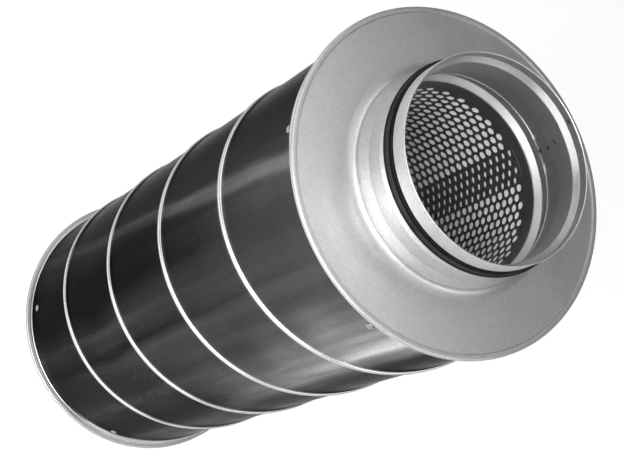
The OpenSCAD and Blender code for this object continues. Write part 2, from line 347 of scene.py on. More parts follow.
class Growth(Nodes):
    """A Geometry Nodes tree that grows a piece from the mesh of its own object."""

    def __init__(self, name: str) -> None:
        """Starts an empty tree with a geometry going in and one coming out."""
        super().__init__(bpy.data.node_groups.new(name, "GeometryNodeTree"))
        for way in ("INPUT", "OUTPUT"):
            self.tree.interface.new_socket(name="Geometry", in_out=way,
                                           socket_type="NodeSocketGeometry")
        self.entry = self.add("NodeGroupInput")
        self.exit = self.add("NodeGroupOutput")
        self.values: dict[str, float | int] = {}

    @property
    def seed(self) -> NodeSocket:
        """The geometry of the object that carries the modifier."""
        return self.entry.outputs["Geometry"]

    def size(self, name: str, value: float) -> NodeSocket:
        """Adds a named input for a size.

        Args:
            name: Name of the input.
            value: Its value, in metres or radians; a whole number makes a whole-number input.

        Returns:
            The input's socket inside the tree.
        """
        kind = "NodeSocketInt" if isinstance(value, int) else "NodeSocketFloat"
        socket = self.tree.interface.new_socket(name=name, in_out="INPUT", socket_type=kind)
        self.values[socket.identifier] = value
        return self.entry.outputs[name]

    def place(self) -> list[NodeSocket]:
        """The X, Y and Z of each point."""
        return self.split(self.add("GeometryNodeInputPosition").outputs[0])

    def index(self) -> NodeSocket:
        """The number of each point."""
        return self.add("GeometryNodeInputIndex").outputs[0]

    def round_axis(self, radius: NodeSocket, angle: NodeSocket, height: NodeSocket) -> NodeSocket:
        """Places at a radius, angle and height about the duct axis.

        Args:
            radius: Distance from the axis.
            angle: Angle in radians.
            height: Height.

        Returns:
            The places as vectors.
        """
        x = self.math("MULTIPLY", radius, self.math("COSINE", angle))
        y = self.math("MULTIPLY", radius, self.math("SINE", angle))
        return self.vector(x, y, height)

    def moved(self, geometry: NodeSocket, to: NodeSocket) -> NodeSocket:
        """The geometry with its points set to new places."""
        inputs = {"Geometry": geometry, "Position": to}
        return self.add("GeometryNodeSetPosition", inputs).outputs[0]

    def merged(self, geometry: NodeSocket) -> NodeSocket:
        """The geometry with points that touch made one."""
        inputs = {0: geometry, "Distance": MERGE_GAP * MM}
        return self.add("GeometryNodeMergeByDistance", inputs).outputs[0]

    def row(self, count: NodeSocket) -> NodeSocket:
        """A row of points at the origin, one for each copy."""
        inputs = {"Count": count, "Offset": (0.0, 0.0, 0.0)}
        return self.add("GeometryNodeMeshLine", inputs).outputs[0]

    def copies(self, points: NodeSocket, shape: NodeSocket,
               rotation: NodeSocket | None = None) -> NodeSocket:
        """Real copies of a shape at points.

        Args:
            points: Where the copies go.
            shape: The shape.
            rotation: How each is turned, in radians about the axes.

        Returns:
            The copies as one mesh.
        """
        inputs = {"Points": points, "Instance": shape}
        if rotation is not None:
            inputs["Rotation"] = rotation
        placed = self.add("GeometryNodeInstanceOnPoints", inputs).outputs[0]
        return self.add("GeometryNodeRealizeInstances", {0: placed}).outputs[0]

    def together(self, *parts: NodeSocket) -> NodeSocket:
        """Several geometries as one.

        Args:
            parts: The geometries.

        Returns:
            The joined geometry.
        """
        join = self.add("GeometryNodeJoinGeometry")
        for part in parts:
            self.tree.links.new(part, join.inputs[0])
        return join.outputs[0]

    def grow(self, bm: BMesh, result: NodeSocket, material: Material) -> BMesh:
        """Ends the tree and runs it on a seed mesh.

        Args:
            bm: The seed mesh, freed here.
            result: The geometry that the tree gives.
            material: The material that it sets.

        Returns:
            The grown piece as a plain mesh.
        """
        real = self.add("GeometryNodeRealizeInstances", {0: result}).outputs[0]
        painted = self.add("GeometryNodeSetMaterial", {0: real, "Material": material}).outputs[0]
        self.tree.links.new(painted, self.exit.inputs[0])
        mesh = bpy.data.meshes.new("seed")
        bm.to_mesh(mesh)
        bm.free()
        carrier = bpy.data.objects.new("seed", mesh)
        bpy.context.scene.collection.objects.link(carrier)
        modifier = carrier.modifiers.new("growth", "NODES")
        modifier.node_group = self.tree
        for identifier, value in self.values.items():
            modifier[identifier] = value
        graph = bpy.context.evaluated_depsgraph_get()
        grown = bpy.data.meshes.new_from_object(carrier.evaluated_get(graph))
        carrier.modifiers.remove(modifier)
        whole = bmesh.new()
        whole.from_mesh(grown)
        bpy.data.objects.remove(carrier)
        bpy.data.meshes.remove(mesh)
        bpy.data.meshes.remove(grown)
        return whole


class Paint(Nodes):
    """A procedural material, put together node by node."""

    def __init__(self, name: str) -> None:
        """Starts a material with a Principled shader."""
        self.material = bpy.data.materials.new(name)
        self.material.use_nodes = True
        super().__init__(self.material.node_tree)
        self.tree.nodes.clear()
        self.shader = self.add("ShaderNodeBsdfPrincipled")
        self.add("ShaderNodeOutputMaterial", {"Surface": self.shader.outputs[0]})

    def set(self, **values: object) -> None:
        """Sets or links the shader's sockets; an underscore stands for a space."""
        for key, value in values.items():
            self.feed(self.shader.inputs[key.replace("_", " ")], value)

    def object_place(self) -> NodeSocket:
        """The object coordinates, in metres."""
        return self.add("ShaderNodeTexCoord").outputs["Object"]

    def stretched(self, stretch: Triple) -> NodeSocket:
        """Object coordinates with each axis stretched by its own number."""
        inputs = {"Vector": self.object_place(), "Scale": stretch}
        return self.add("ShaderNodeMapping", inputs).outputs[0]

    def ringwise(self) -> NodeSocket:
        """Coordinates that are the same all round the duct axis.

        Returns:
            The radius as X and the height as Y.
        """
        x, y, z = self.split(self.object_place())
        square = self.math("ADD", self.math("MULTIPLY", x, x), self.math("MULTIPLY", y, y))
        return self.vector(self.math("SQRT", square), z)

    def outward(self) -> NodeSocket:
        """Tells the sides of a sheet that is rolled round the duct axis apart.

        Returns:
            1 where the surface faces away from the axis, 0 where it faces the axis.
        """
        place = self.add("ShaderNodeTexCoord").outputs
        flat = self.add("ShaderNodeVectorMath", {0: place["Object"], 1: (1.0, 1.0, 0.0)},
                        operation="MULTIPLY").outputs[0]
        lean = self.add("ShaderNodeVectorMath", {0: flat, 1: place["Normal"]},
                        operation="DOT_PRODUCT").outputs["Value"]
        return self.math("GREATER_THAN", lean, 0.0)

    def noise(self, place: NodeSocket, scale: float, detail: float = 3.0,
              rough: float = 0.5) -> NodeSocket:
        """A noise value from 0 to 1, with so many waves in a metre and so many finer layers."""
        inputs = {"Vector": place, "Scale": scale, "Detail": detail, "Roughness": rough}
        return self.add("ShaderNodeTexNoise", inputs).outputs[0]

    def spread(self, value: NodeSocket, low: object, high: object,
               start: float = 0.3, stop: float = 0.7) -> NodeSocket:
        """A value that goes from low to high while another goes from start to stop."""
        inputs = {0: value, 1: start, 2: stop, 3: low, 4: high}
        return self.add("ShaderNodeMapRange", inputs).outputs[0]

    def varied(self, share: NodeSocket, value: NodeSocket, low: float, high: float,
               start: float = 0.3, stop: float = 0.7) -> NodeSocket:
        """A share of light that another value makes from low to high times as strong."""
        return self.math("MULTIPLY", share, self.spread(value, low, high, start, stop))

    def tinted(self, colour: Triple, share: NodeSocket) -> NodeSocket:
        """A colour made lighter or darker by a share."""
        inputs = {0: colour, "Scale": share}
        return self.add("ShaderNodeVectorMath", inputs, operation="SCALE").outputs[0]

    def bump(self, height: NodeSocket, depth: float) -> NodeSocket:
        """A normal from a height between 0 and 1, at a depth in millimetres."""
        inputs = {"Height": height, "Distance": depth * MM, "Strength": 1.0}
        return self.add("ShaderNodeBump", inputs).outputs[0]


# Finishes


@dataclass(frozen=True)
class Smear:
    """A soft band of painted reflection along the casing: painted highlight where its gain is above
    zero, painted shade where it is below.

    It lies at an angle round the axis, is half_width degrees wide to each side, and grows from
    nothing at the height low to its full gain at high. soft is the share of the half width that
    fades out. lean turns the band by so many degrees for each metre of height above pivot.
    """

    angle: float
    half_width: float
    low: float
    high: float
    gain: float
    soft: float = 1.0
    lean: float = 0.0
    pivot: float = 367.5


@dataclass(frozen=True)
class GalvanisedSheet:
    """Zinc-coated sheet: faint spangle, rolling streaks, handling haze and rubbed ridges, partly
    painted highlight.

    spangle, streaks and ring_marks are how much lighter or darker each makes the sheet. What lies
    farther out than the radius rubbed_from is rubbed bright, on the casing's seam and rims
    also as a painted highlight, and a painted reflection band leaves at least the share darkest of
    the light. inner_roughness is for the side that faces the duct axis.
    """

    name: str
    colour: Triple
    metallic: float
    roughness: float
    edge_tint: float = 1.0
    spangle_size: float = 5.0
    spangle: float = 0.04
    streaks: float = 0.0
    ring_marks: float = 0.0
    rubbed_from: float = 0.0
    rubbed_fade: float = 0.7
    rubbed_colour: Triple = (0.62, 0.625, 0.63)
    wave_depth: float = 0.04
    inner_roughness: float = 0.0
    smears: tuple[Smear, ...] = ()
    darkest: float = 0.12

    def smeared(self, p: Paint, share: NodeSocket) -> NodeSocket:
        """The share of light with the painted highlight and shade bands laid over it.

        Args:
            p: The material.
            share: The share without the painted bands.

        Returns:
            The share with the painted bands.
        """
        x, y, z = p.split(p.object_place())
        round_at = p.math("ARCTAN2", x, p.math("MULTIPLY", y, -1.0))
        ragged = p.noise(p.stretched((1.0, 1.0, 0.05)), 90.0, 4.0, 0.6)
        wander = p.noise(p.stretched((0.2, 0.2, 1.0)), 6.0, 2.0, 0.5)
        drift = p.spread(wander, -0.3, 0.3)
        # Each band paints highlight or shade into the colour at an angle round the casing, in place
        # of reflections
        for reflection in self.smears:
            half = math.radians(reflection.half_width)
            from_centre = p.math("SUBTRACT", round_at, math.radians(reflection.angle - FRONT_SIDE))
            near = p.math("ADD", from_centre, p.math("MULTIPLY", drift, half))
            if reflection.lean:
                climb = p.math("SUBTRACT", z, reflection.pivot * MM)
                turn = p.math("MULTIPLY", climb, math.radians(reflection.lean))
                near = p.math("SUBTRACT", near, turn)
            band = p.spread(p.math("ABSOLUTE", near), 1.0, 0.0, half * (1 - reflection.soft), half)
            rise = p.spread(z, 0.0, 1.0, reflection.low * MM, reflection.high * MM)
            mask = p.math("MULTIPLY", p.math("MULTIPLY", band, band),
                          p.varied(rise, ragged, 0.7, 1.15))
            gain = p.math("MULTIPLY_ADD", mask, reflection.gain, 1.0)
            share = p.math("MULTIPLY", share, p.math("MAXIMUM", gain, self.darkest))
        return share

    def light_share(self, p: Paint, haze: NodeSocket) -> NodeSocket:
        """How light or dark each spot is, against the sheet's own colour.

        Args:
            p: The material.
            haze: Noise of the handling haze.

        Returns:
            The share of light.
        """
        cells = p.add("ShaderNodeTexVoronoi", {"Vector": p.object_place(),
                                               "Scale": 1000 / self.spangle_size})
        grey = p.add("ShaderNodeRGBToBW", {0: cells.outputs["Color"]}).outputs[0]
        share = p.spread(grey, 1 - self.spangle, 1 + self.spangle, 0.15, 0.85)
        share = p.varied(share, haze, 0.94, 1.06)
        if self.streaks:
            fine = p.noise(p.stretched((1.0, 1.0, 0.04)), 60.0, 3.0, 0.55)
            broad = p.noise(p.stretched((1.0, 1.0, 0.12)), 11.0, 2.0, 0.5)
            share = p.varied(share, fine, 1 - self.streaks / 2, 1 + self.streaks / 2)
            share = p.varied(share, broad, 1 - self.streaks, 1 + 2 * self.streaks)
        if self.ring_marks:
            marks = p.noise(p.ringwise(), 900.0, 2.0, 0.5)
            share = p.varied(share, marks, 1 - self.ring_marks, 1 + self.ring_marks)
        return self.smeared(p, share) if self.smears else share

    @functools.cache
    def paint(self) -> Material:
        """Builds the material, once for all the pieces that wear it.

        Returns:
            The finished material.
        """
        p = Paint(self.name)
        haze = p.noise(p.object_place(), 22.0, 4.0, 0.6)
        colour = p.tinted(self.colour, self.light_share(p, haze))
        rough = p.spread(haze, self.roughness * 1.12, self.roughness * 0.9)
        if self.inner_roughness:
            inner = p.spread(haze, self.inner_roughness * 1.12, self.inner_roughness * 0.9)
            rough = p.spread(p.outward(), inner, rough, 0.0, 1.0)
        # Rubbed zinc colour beyond a radius; on the casing's seam ridges and rims it is also a
        # painted highlight
        if self.rubbed_from:
            radius = p.split(p.ringwise())[0]
            rub_and_sheen_mask = p.spread(radius, 0.0, 1.0, self.rubbed_from * MM,
                            (self.rubbed_from + self.rubbed_fade) * MM)
            inputs = {"Factor": rub_and_sheen_mask, "A": colour, "B": self.rubbed_colour}
            colour = p.add("ShaderNodeMix", inputs, data_type="VECTOR").outputs[1]
        along = 0.1 if self.streaks else 1.0
        waves = p.noise(p.stretched((1.0, 1.0, along)), 45.0, 2.0, 0.4)
        p.set(Base_Color=colour, Roughness=rough, Normal=p.bump(waves, self.wave_depth),
              Metallic=self.metallic, Specular_Tint=(self.edge_tint,) * 3 + (1.0,))
        return p.material


@dataclass(frozen=True)
class Rubber:
    """Moulded gasket rubber with a dull skin and dust, painted sheen lines and painted sheen on its
    lips' faces.
    """

    name: str
    colour: Triple
    roughness: float
    grain_depth: float = 0.03

    @functools.cache
    def paint(self) -> Material:
        """Builds the material, once for all the pieces that wear it.

        Returns:
            The finished material.
        """
        p = Paint(self.name)
        dust = p.noise(p.object_place(), 60.0, 5.0, 0.65)
        grain = p.noise(p.object_place(), 1600.0, 2.0, 0.5)
        sheen_lines = p.noise(p.ringwise(), 620.0, 1.0, 0.6)
        normal = p.add("ShaderNodeTexCoord").outputs["Normal"]
        lean = p.math("ABSOLUTE", p.split(normal)[2])
        # Painted highlight: thin ring lines up to three times as light as the rubber
        share = p.varied(p.spread(dust, 0.5, 1.4), sheen_lines, 0.5, 3.0, 0.45, 0.75)
        # Painted sheen on faces that face along the axis, and painted shade on faces across it:
        # gaps and lip tips
        share = p.varied(share, lean, 0.2, 4.5, 0.45, 0.95)
        p.set(Base_Color=p.tinted(self.colour, share),
              Roughness=p.spread(sheen_lines, self.roughness * 1.35, self.roughness * 0.7),
              Normal=p.bump(grain, self.grain_depth), Specular_IOR_Level=0.05)
        return p.material


@dataclass(frozen=True)
class FibreMat:
    """Matted fibres: the white fleece behind the holes, or the wool of the lining."""

    name: str
    colour: Triple
    fibre_size: float
    depth: float

    def paint(self) -> Material:
        """Builds the material.

        Returns:
            The finished material.
        """
        p = Paint(self.name)
        lay = p.noise(p.object_place(), 1000 / self.fibre_size, 4.0, 0.7)
        across = p.noise(p.stretched((1.0, 1.0, 4.0)), 1000 / self.fibre_size, 3.0, 0.6)
        height = p.math("MULTIPLY", lay, across)
        clumps = p.noise(p.object_place(), 130.0, 3.0, 0.5)
        # Painted shade: the colour is darker where the fibre bump is low, between the fibres
        share = p.varied(p.spread(height, 0.86, 1.04, 0.1, 0.45), clumps, 0.95, 1.03)
        p.set(Base_Color=p.tinted(self.colour, share), Roughness=0.95,
              Normal=p.bump(height, self.depth), Sheen_Weight=0.15, Sheen_Roughness=0.6)
        return p.material


# Painted reflection bands on the casing: positive gains are painted highlights, negative gains
# painted shade
CASING_PAINTED_REFLECTIONS = (Smear(308.0, 21.0, 300.0, 600.0, 3.4), Smear(317.0, 12.0, 300.0, 640.0, 3.6),
                 Smear(325.0, 14.0, 57.0, 58.0, 1.6), Smear(300.0, 20.0, 420.0, 100.0, 0.9),
                 Smear(245.0, 18.0, 600.0, 200.0, -1.0, soft=0.6),
                 Smear(240.0, 14.0, 420.0, 150.0, -0.8, soft=0.7),
                 Smear(231.0, 5.5, 57.0, 58.0, 1.3, soft=0.7, lean=40.0),
                 Smear(265.0, 6.0, 600.0, 300.0, 0.7), Smear(275.0, 6.0, 620.0, 250.0, -0.6),
                 Smear(206.0, 9.0, 560.0, 250.0, -0.9), Smear(192.0, 8.0, 450.0, 150.0, 2.0))
# Painted dark reflection: the same zinc as the caps, darkened, with a low edge tint that keeps
# edges dark
CASING_FINISH = GalvanisedSheet("casing_dark_galvanised", (0.072, 0.0725, 0.0735), 0.92, 0.28,
                                edge_tint=0.12, spangle=0.05, spangle_size=2.0, streaks=0.28,
                                rubbed_from=130.5, rubbed_colour=(0.85, 0.855, 0.86),
                                wave_depth=0.08, smears=CASING_PAINTED_REFLECTIONS)
CAP_FINISH = GalvanisedSheet("cap_galvanised", (0.60, 0.605, 0.61), 0.93, 0.42,
                             spangle=0.05, spangle_size=1.6, ring_marks=0.03)
SPIGOT_FINISH = GalvanisedSheet("spigot_galvanised", (0.60, 0.605, 0.61), 0.9, 0.48,
                                inner_roughness=0.34, spangle=0.06, spangle_size=1.6,
                                ring_marks=0.04)
TUBE_FINISH = GalvanisedSheet("tube_galvanised", (0.28, 0.285, 0.29), 0.9, 0.34,
                              spangle=0.06, spangle_size=1.6, rubbed_from=78.5)
RIVET_FINISH = GalvanisedSheet("rivet_steel_bright", (0.36, 0.36, 0.365), 0.95, 0.40,
                               spangle=0.03, spangle_size=1.5)
WELD_FINISH = GalvanisedSheet("weld_mark_dark", (0.12, 0.12, 0.125), 0.7, 0.5,
                              spangle=0.08, spangle_size=1.2)
GASKET_FINISH = Rubber("gasket_rubber_skin", (0.006, 0.006, 0.0065), 0.42)
FLEECE_FINISH = FibreMat("fleece_white", (0.93, 0.93, 0.92), 0.9, 0.12)
WOOL_FINISH = FibreMat("wool_mat", (0.62, 0.55, 0.36), 3.0, 0.8)


# Sub-assemblies


@dataclass
class Casing:
    """The spiral-wound casing with its lock seam and turned-out edges.

    The seam's groove and flank are points at a distance from the seam's middle, with the height
    of each on the strip. Faces of a turned shell that are taller than plain_height are its wall.
    """

    radius: float = 130.0
    sheet: float = 0.7
    flange_radius: float = 133.2
    rim_height: float = 4.0
    bend: float = 2.5
    seam_lead: float = 120.5
    seam_height: float = 2.2
    seam_flank: tuple[Point, ...] = ((3.4, 0.0), (2.9, 0.3), (2.4, 1.2), (1.9, 1.9), (1.2, 2.18))
    seam_groove: tuple[Point, ...] = ((-8.6, 0.0), (-7.4, 0.0), (-6.4, -0.28), (-5.6, -0.28),
                                      (-4.8, 0.0))
    first_turn: float = 120.4
    run_out: float = 4.0
    segments: int = 180
    plain_height: float = 100.0
    sliver: float = 0.01
    join_gap: float = 0.03

    def seam_section(self) -> Outline:
        """Half section of one turn of the strip.

        Returns:
            Points as distance from the seam's middle and height on the strip.
        """
        half = self.seam_lead / 2
        ridge = [*((-v, h) for v, h in self.seam_flank), (0.0, self.seam_height),
                 *self.seam_flank[::-1]]
        return [(-half, 0.0), (-30.0, 0.0), *self.seam_groove, *ridge,
                (6.0, 0.0), (30.0, 0.0), (half, 0.0)]

    def strip(self, turns: int) -> BMesh:
        """Flat strip that the winding starts from.

        Args:
            turns: Number of turns of the winding.

        Returns:
            A mesh with the turn angle as X, the distance from the seam as Y and the height on
            the strip as Z.
        """
        bm = bmesh.new()
        section = self.seam_section()
        columns = []
        for i in range(turns * self.segments + 1):
            angle = 2 * math.pi * i / self.segments
            columns.append([bm.verts.new((angle, v * MM, h * MM)) for v, h in section])
        skin(bm, columns, ring=False, loop=False)
        return bm

    def winding(self) -> BMesh:
        """Winds the strip into the casing's wall, between the two bends.

        Returns:
            The outer wall, open at both ends.
        """
        low = End.REAR.value + self.rim_height + self.bend
        high = End.FRONT.value - self.rim_height - self.bend
        turns = math.ceil((high - low) / self.seam_lead) + 3
        below = math.floor((End.FRONT.value - self.first_turn - low) / self.seam_lead) + 2
        begin = End.FRONT.value - self.first_turn - below * self.seam_lead
        g = Growth("spiral_casing")
        radius = g.size("Casing radius", self.radius * MM)
        lead = g.size("Seam lead", self.seam_lead * MM)
        start = g.size("Height of the first turn", begin * MM)
        first = g.size("Angle of the first turn", math.radians(FRONT_SIDE))
        floor = g.size("Lower bend", low * MM)
        top = g.size("Upper bend", high * MM)
        fade = g.size("Run-out at the bends", self.run_out * MM)
        x, y, z = g.place()
        rise = g.math("MULTIPLY", g.math("DIVIDE", x, 2 * math.pi), lead)
        free = g.math("ADD", g.math("ADD", start, rise), y)
        height = g.math("MINIMUM", g.math("MAXIMUM", free, floor), top)
        room = g.math("MINIMUM", g.math("SUBTRACT", height, floor), g.math("SUBTRACT", top, height))
        share = g.math("MINIMUM", g.math("DIVIDE", room, fade), 1.0)
        out = g.math("ADD", radius, g.math("MULTIPLY", z, share))
        wound = g.moved(g.seed, g.round_axis(out, g.math("ADD", first, x), height))
        wall = g.grow(self.strip(turns), g.merged(wound), CASING_FINISH.paint())
        bmesh.ops.dissolve_degenerate(wall, dist=self.sliver * MM, edges=wall.edges)
        return wall

    def edge(self, end: End) -> Outline:
        """Line of one end's bend and turned-out edge, from the wall outwards and back inside.

        Args:
            end: The end.

        Returns:
            The points as radius and height.
        """
        centre = (self.radius - self.sheet + self.bend, -self.rim_height - self.bend)
        outer = arc(centre, self.bend - self.sheet, 180, 90)
        inner = arc(centre, self.bend, 90, 180)
        line = outer + [(self.flange_radius, -self.rim_height - self.sheet),
                        (self.flange_radius, -self.rim_height)] + inner
        return [(r, end.height(x)) for r, x in line]

    def build(self) -> None:
        """Builds and dresses the casing: a turned shell whose outer wall is the winding."""
        shell = turned(self.edge(End.FRONT) + self.edge(End.REAR)[::-1], segments=self.segments)
        middle = (self.radius - self.sheet / 2) * MM
        tall = self.plain_height * MM
        plain = [f for f in shell.faces if f.calc_center_median().xy.length > middle
                 and max(v.co.z for v in f.verts) - min(v.co.z for v in f.verts) > tall]
        bmesh.ops.delete(shell, geom=plain, context="FACES")
        whole = joined([shell, self.winding()])
        bmesh.ops.remove_doubles(whole, verts=whole.verts, dist=self.join_gap * MM)
        bmesh.ops.recalc_face_normals(whole, faces=whole.faces)
        piece = as_piece("spiral_casing", whole, 50.0)
        seat(piece, CASING_FINISH.paint(), "casing_sheet", "casing")


@dataclass
class EndCap:
    """One end cap: drawn neck, face, rolled rim and the skirt inside the casing."""

    end: End
    sheet: float = 0.8
    neck_radius: float = 85.0
    neck_edge: float = 3.6
    neck_land: float = 0.8
    neck_steps: int = 16
    face_radius: float = 93.5
    face_step: float = 0.8
    face_crease: float = 0.1
    rim_radius: float = 136.8
    rim_height: float = 4.0
    rim_band: float = 2.4
    skirt_radius: float = 129.3
    skirt_length: float = 32.0
    bend: float = 2.5

    def path(self) -> Outline:
        """Outer line of the cap, from the neck's edge to the end of the skirt.

        Returns:
            The points as radius and place out from the end face.
        """
        width = self.face_radius - self.neck_radius
        land = self.neck_edge - self.neck_land
        drop = land + self.face_step
        angles = [math.pi / 2 * i / self.neck_steps for i in range(self.neck_steps + 1)]
        neck = [(self.face_radius - width * math.cos(a), land - drop * math.sin(a)) for a in angles]
        roll = self.rim_height / 2
        band = self.rim_radius - roll - self.rim_band
        crease = -self.face_step - self.face_crease
        step = [(band - 2.2, -self.face_step), (band - 1.2, crease), (band - 0.7, crease),
                (band - 0.35, -0.35), (band, -0.03), (band + 0.4, 0.0)]
        rim = arc((self.rim_radius - roll, -roll), roll, 90, -90, 20)
        foot = arc((self.skirt_radius + self.bend, -self.rim_height - self.bend),
                   self.bend, 90, 180, 8)
        return [(self.neck_radius, self.neck_edge), *neck, *step, *rim, *foot,
                (self.skirt_radius, -self.skirt_length)]

    def build(self) -> None:
        """Builds and dresses the cap."""
        bm = turned(sheet_outline(self.path(), -self.sheet), self.end, 288)
        piece = as_piece(f"{self.end.word}_cap_drawn", bm)
        seat(piece, CAP_FINISH.paint(), "cap_sheet", f"{self.end.word}_end_cap")


@dataclass
class Spigot:
    """One spigot: locking bead, gasket groove, folded nose and lapped, spot-welded joint.

    The lap lies between two angles, and each weld is a place out from the end face and an angle.
    """

    end: End
    sheet: float = 0.6
    seat_radius: float = 79.0
    tail: float = -14.0
    length: float = 57.5
    bead_height: float = 4.6
    bead_rear: Point = (-6.8, -0.2)
    bead_crest: float = 3.6
    bead_front: float = 7.4
    groove_depth: float = 3.6
    groove: tuple[float, float, float, float] = (23.5, 28.0, 45.0, 51.0)
    nose_radius: float = 78.6
    fold: float = 0.7
    hem_edge: float = 43.6
    lap: Point = (76.0, 91.0)
    lap_sheet: float = 0.45
    lap_gap: float = 0.4
    weld_radius: float = 1.9
    weld_sides: int = 14
    welds: tuple[Point, ...] = ((12.8, 83.4), (22.6, 83.2), (35.6, 84.6), (54.4, 91.5))

    @property
    def bead_end(self) -> float:
        """Place where the bead's front flank ends."""
        return self.bead_crest + self.bead_front

    def bead(self) -> Outline:
        """Inner line of the bead.

        Returns:
            The points as radius and place out from the end face.
        """
        top = self.seat_radius + self.bead_height
        low, high = self.bead_rear
        return (ramp(low, self.seat_radius, high, top)
                + ramp(self.bead_crest, top, self.bead_end, self.seat_radius))

    def mouth(self) -> Outline:
        """Inner line from the bead to the straight part of the nose.

        Returns:
            The points as radius and place out from the end face.
        """
        x0, x1, x2, x3 = self.groove
        low = self.seat_radius - self.groove_depth
        return ramp(x0, self.seat_radius, x1, low) + ramp(x2, low, x3, self.nose_radius)

    def hem(self) -> Outline:
        """Line of the nose's end, folded back outside to hold the gasket's foot."""
        turn = (self.nose_radius + self.fold, self.length - self.fold)
        return arc(turn, self.fold, 180, 0, 8) + [(turn[0] + self.fold, self.hem_edge)]

    def weld_mark(self, out: float, angle: float) -> BMesh:
        """One spot-weld mark on the inside of the lap: a shallow lens with a ring round it.

        Args:
            out: Its place out from the end face.
            angle: Its angle round the axis, in degrees.

        Returns:
            A closed mesh.
        """
        size = self.weld_radius
        profile = [(0.0, -0.2), (size * 0.45, -0.16), (size * 0.62, -0.03), (size * 0.78, -0.2),
                   (size * 0.92, -0.14), (size, 0.2), (0.0, 0.2)]
        wall = self.nose_radius if out > self.groove[3] else self.seat_radius
        if self.groove[1] < out < self.groove[2]:
            wall -= self.groove_depth
        mark = stud(profile, wall - self.lap_sheet, self.end.height(out), self.weld_sides)
        turn = Matrix.Rotation(math.radians(angle), 3, "Z")
        bmesh.ops.rotate(mark, verts=mark.verts, matrix=turn)
        return mark

    def build(self) -> None:
        """Builds and dresses the spigot with its lap, and its weld marks."""
        path = [(self.seat_radius, self.tail)] + self.bead() + self.mouth() + self.hem()
        tube = turned(sheet_outline(path, -self.sheet), self.end, 240)
        lap_path = [(self.seat_radius, self.bead_end + self.lap_gap), *self.mouth(),
                    (self.nose_radius, self.length - self.fold)]
        start, stop = self.lap
        lap = turned(sheet_outline(lap_path, self.lap_sheet), self.end, 14, start, stop - start)
        piece = as_piece(f"{self.end.word}_spigot_rolled", joined([tube, lap]))
        seat(piece, SPIGOT_FINISH.paint(), "spigot_sheet", f"{self.end.word}_spigot")
        row = joined([self.weld_mark(out, angle) for out, angle in self.welds])
        marks = as_piece(f"{self.end.word}_weld_marks", row, 60.0)
        seat(marks, WELD_FINISH.paint(), "spigot_sheet")


